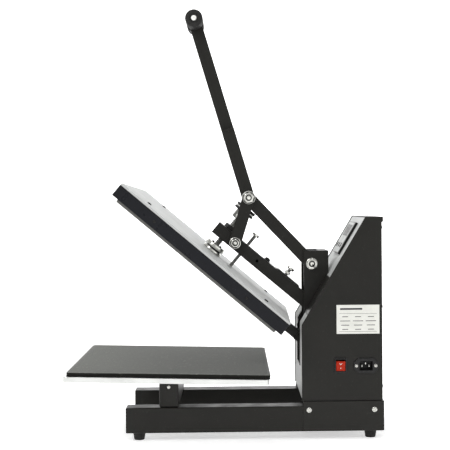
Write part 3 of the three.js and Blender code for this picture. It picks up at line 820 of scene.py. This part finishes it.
def platen_screws(label, side):
    """The dark screws in the upper platen's lid and band, front and rear."""
    lid_x, lid_y = 143, 148     # from the pressure screw
    band_x = 110
    lid_top = span("platen_cover", PLATEN)[1].z
    band_low, band_high = span("platen_band", PLATEN)
    for end, way in ENDS.items():
        at = on(PLATEN, way * lid_x, side * lid_y, lid_top)
        cross_head(f"lid_screw_{end}_{label}", 4.6, 2.6, at, "platen", DARK_METAL)
        edge = on(PLATEN, way * band_x, side * band_high.y, (band_low.z + band_high.z) / 2)
        at = edge @ Matrix.Rotation(-side * math.pi / 2, 4, "X")
        cross_head(f"band_screw_{end}_{label}", 2.6, 0.9, at, "platen", DARK_METAL)


def support_screw(label, side):
    """One bright screw in each end of the cross-beam."""
    drop = 7                # below the beam's top
    low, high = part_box("platen_support")
    spot = ((low.x + high.x) / 2, side * high.y, high.z - drop * MM)
    at = place(spot, (0, side, 0), (1, 0, 0.4))
    cross_head(f"support_screw_{label}", 3.4, 1.6, at, "press", STEEL)


def make_screws():
    """Screw heads that hold the sheet metal and the inlet."""
    for label, side in SIDES.items():
        tray_screws(label, side)
        case_screws(label, side)
        platen_screws(label, side)
        support_screw(label, side)
    inlet = middle("power_inlet")
    inlet_reach = 18.6      # of its screws from the inlet's middle
    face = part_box("power_inlet")[0].y + 0.2 * MM
    for end, way in ENDS.items():
        at = place((inlet.x + way * inlet_reach * MM, face, inlet.z), (0, -1, 0), (1, 0, 0.5))
        cross_head(f"inlet_screw_{end}", 3.3, 1.5, at, "press")


# ---- controller, label and switch ----
def seven_segments(name, digit, x, y, z):
    """One figure of the display, from the usual seven bars. Up is up the slope."""
    bars = {
        "top": (7, 0, 1.1, 4.6), "middle": (0, 0, 1.1, 4.6), "bottom": (-7, 0, 1.1, 4.6),
        "top_left": (3.5, 2.9, 5.4, 1.1), "top_right": (3.5, -2.9, 5.4, 1.1),
        "low_left": (-3.5, 2.9, 5.4, 1.1), "low_right": (-3.5, -2.9, 5.4, 1.1),
    }
    drawn = {
        "0": "top bottom top_left top_right low_left low_right",
        "1": "top_right low_right",
        "5": "top middle bottom top_left low_right",
        "8": "top middle bottom top_left top_right low_left low_right",
    }[digit].split()
    for bar in drawn:
        dx, dy, along, across = bars[bar]
        at = on(SLOPE, x + dx, y + dy, z)
        slab(f"{name}_{bar}", (along, across, 0.12), 0.4, at, "press", "black_plastic", UNLIT, soften=0.04)


def make_display():
    """Six unlit figures in two groups of three."""
    digits = "180015"
    low, high = span("display_window", SLOPE)
    pitch = (high.y - low.y) / (len(digits) + 1)
    for i, digit in enumerate(digits):
        y = low.y + pitch * (i + (0.5 if i < 3 else 0.8))
        seven_segments(f"digit_{i}", digit, (low.x + high.x) / 2, y, high.z + 0.05)


def make_keys():
    """Domed keys with a printed dot, minus or plus."""
    marks = {"mode": [(2.8, 2.8)], "down": [(0.9, 4)], "up": [(0.9, 4), (4, 0.9)]}
    for key, bars in marks.items():
        node = f"button_{key}"
        body = f"{key}_key"
        low, high = span(node, SLOPE)
        at = on(SLOPE, (low.x + high.x) / 2, (low.y + high.y) / 2, 0)
        profile = [(4.6, low.z), (5.5, low.z + 0.6), (5.5, high.z - 1.2), (4.9, high.z - 0.4), (3.4, high.z)]
        cap = turned(f"{node}_cap", profile, at, body, "black_plastic", fillet=0.5)
        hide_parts(node)
        for i, (along, across) in enumerate(bars):
            size = (along, across, 0.1)
            spot = on(at, 0, 0, high.z + 0.02)
            slab(f"{node}_mark_{i}", size, 0.2, spot, body, "black_plastic", WHITE_PLASTIC, soften=0.03)


def make_label():
    """A rating label with a ruled table of plain dashes in place of its words."""
    low, high = (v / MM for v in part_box("rating_label"))
    width, height = high.x - low.x, high.z - low.z
    at = crosswise(Vector(((low.x + high.x) / 2, low.y, (low.z + high.z) / 2)) * MM, -1)

    def bar(name, x, y, w, h):
        size = (w, h, 0.06)
        slab(name, size, min(w, h) * 0.3, on(at, x, y, 0.02), "press", "label_film", INK, soften=0.02)

    bar("label_heading", -width * 0.16, height * 0.36, width * 0.52, 3.4)
    for i, y in enumerate((0.2, -0.42)):
        bar(f"label_rule_{i}", 0, height * y, width * 0.88, 0.5)
    for row in range(4):
        for column in range(3):
            dash = width * (0.14 + 0.05 * ((row * 5 + column * 3) % 3))
            x = width * (column - 1) * 0.3
            bar(f"label_dash_{row}_{column}", x, height * (0.09 - 0.145 * row), dash, 1.3)


def make_switch_marks():
    """The rocker's on and off marks, and the metal pins of the mains inlet."""
    mark_offset = 5         # of each mark from the rocker's axis, along its face
    mark_height = 7.5       # of each mark from the axis, out of the face
    tip = place(hinge_at("rocker_tip"), (0, -math.cos(ROCKER_TIP), -math.sin(ROCKER_TIP)), (1, 0, 0))

    def half_face(side):
        return on(tip, 0, side * mark_offset, mark_height) @ Matrix.Rotation(-side * ROCKER_LEAN, 4, "X")

    ring = ring_profile(1.5, 2.2, -0.15, 0.15)
    looks = ("rocker", "red_plastic", WHITE_PLASTIC)
    turned("rocker_mark_off", ring, half_face(1), *looks, fillet=0.05, closed=True)
    slab("rocker_mark_on", (0.8, 4.4, 0.3), 0.2, half_face(-1), *looks, soften=0.05)
    inlet = middle("power_inlet")
    pin_depth = 14.5        # of a pin's middle behind the inlet's face
    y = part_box("power_inlet")[0].y + pin_depth * MM
    for i, (dx, dz) in enumerate(((-7, -1.5), (7, -1.5), (0, 3.5))):
        at = crosswise((inlet.x + dx * MM, y, inlet.z + dz * MM), -1)
        slab(f"inlet_pin_{i}", (2.3, 4.7, 11.4), 0.5, at, "press", "black_plastic", STEEL, soften=0.3)


def make_welds():
    """Weld beads where the cranks stand in the arm tube, and along the foot of the tower plates."""
    inset = 4               # of a bead from the ends of its seam
    offset = 0.6            # of a bead's middle out of its corner
    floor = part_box("tower_foot")[1].z / MM
    tube_low, tube_high = span("arm_tube", ARM)
    crank_low, crank_high = span("crank_plate_far", ARM)
    seam_z = tube_low.z + ARM_WALL + offset
    for label, side in SIDES.items():
        y = side * (crank_high.y + offset)
        start, end = (crank_low.x + inset, y, seam_z), (tube_high.x - inset, y, seam_z)
        weld_bead(f"crank_bead_{label}", ARM, start, end, "arm")
        low, high = (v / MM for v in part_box(f"tower_plate_{label}"))
        start, end = ((low.x + (high.x - low.x) * share, side * OUTER_FACE, floor) for share in (0.1, 0.9))
        weld_bead(f"tower_bead_{label}", Matrix.Identity(4), start, end, "press")


# ---- picture ----
def set_camera():
    """A long lens level with the open arm, the press a little left of the lens axis."""
    yaw, pitch, roll = (math.radians(a) for a in (1.14, 1.13, -0.44))
    forward = Vector((math.sin(yaw) * math.cos(pitch), math.cos(yaw) * math.cos(pitch), -math.sin(pitch)))
    right = Vector((math.cos(yaw), -math.sin(yaw), 0))
    up = right.cross(forward)
    tilted = math.cos(roll) * right + math.sin(roll) * up
    upright = -math.sin(roll) * right + math.cos(roll) * up
    data = bpy.data.cameras.new("camera")
    data.sensor_width = 36
    data.lens = 84.1
    data.shift_x = -0.0667
    camera = bpy.data.objects.new("camera", data)
    camera.matrix_world = Matrix((tilted, upright, -forward)).transposed().to_4x4()
    camera.matrix_world.translation = (0.0164, -2.128, 0.453)
    bpy.context.scene.collection.objects.link(camera)
    bpy.context.scene.camera = camera


def area_light(name, where, target, size, power):
    data = bpy.data.lights.new(name, "AREA")
    data.shape = "RECTANGLE"
    data.size, data.size_y = size
    data.energy = power
    light = bpy.data.objects.new(name, data)
    light.location = where
    light.rotation_euler = (Vector(target) - Vector(where)).to_track_quat("-Z", "Y").to_euler()
    bpy.context.scene.collection.objects.link(light)


def stage_sheet(name, corners, glow):
    """A pale sheet that glows a little, as lit paper does."""
    shader = Shader(name, (0.88, 0.88, 0.88), 0.7, Emission_Color=(1, 1, 1, 1), Emission_Strength=glow)
    shader.vary_roughness(shader.noise(3, 3), 0.6, 0.8)
    mesh = bpy.data.meshes.new(name)
    mesh.from_pydata(corners, [], [(0, 1, 2, 3)])
    mesh.materials.append(shader.material)
    sheet = bpy.data.objects.new(name, mesh)
    bpy.context.scene.collection.objects.link(sheet)


def studio_sky():
    """White light from all round, brightest at the horizon and softer overhead."""
    world = bpy.data.worlds.new("studio")
    world.use_nodes = True
    nodes, links = world.node_tree.nodes, world.node_tree.links
    background = nodes["Background"]
    background.inputs["Color"].default_value = (1, 1, 1, 1)
    direction = nodes.new("ShaderNodeTexCoord").outputs["Generated"]
    parts = nodes.new("ShaderNodeSeparateXYZ")
    steepness = nodes.new("ShaderNodeMath")
    steepness.operation = "ABSOLUTE"
    strength = nodes.new("ShaderNodeMapRange")
    for key, number in (("From Max", 0.35), ("To Min", 1.0), ("To Max", 0.46)):
        strength.inputs[key].default_value = number
    links.new(direction, parts.inputs["Vector"])
    links.new(parts.outputs["Z"], steepness.inputs[0])
    links.new(steepness.outputs["Value"], strength.inputs["Value"])
    links.new(strength.outputs["Result"], background.inputs["Strength"])
    return world


def set_stage():
    """A pale floor and backdrop, and soft studio light."""
    reach = 40
    floor = [(-reach, -reach, 0), (reach, -reach, 0), (reach, reach, 0), (-reach, reach, 0)]
    stage_sheet("floor", floor, 0.5)
    back, width, height = 7, 12, 9
    backdrop = [(-width, back, 0), (width, back, 0), (width, back, height), (-width, back, height)]
    stage_sheet("backdrop", backdrop, 0.95)
    bpy.context.scene.world = studio_sky()
    area_light("key", (-1.5, -2.0, 2.2), (0, 0, 0.35), (1.2, 0.9), 34)
    area_light("fill", (2.0, -1.8, 1.3), (0.05, 0, 0.3), (0.9, 1.4), 8)
    area_light("top", (-0.1, 0.2, 2.6), (0, 0, 0.2), (1.4, 1.4), 26)
    bpy.context.scene.view_settings.view_transform = "Standard"


set_camera()
dress_cad_nodes()
make_feet()
make_pad()
make_pivots()
make_hinge_axle()
make_grips()
make_thrust_collar()
make_guides()
make_pressure_screw()
make_knob()
make_screw_nut()
make_screws()
make_display()
make_keys()
make_label()
make_switch_marks()
make_welds()
set_stage()
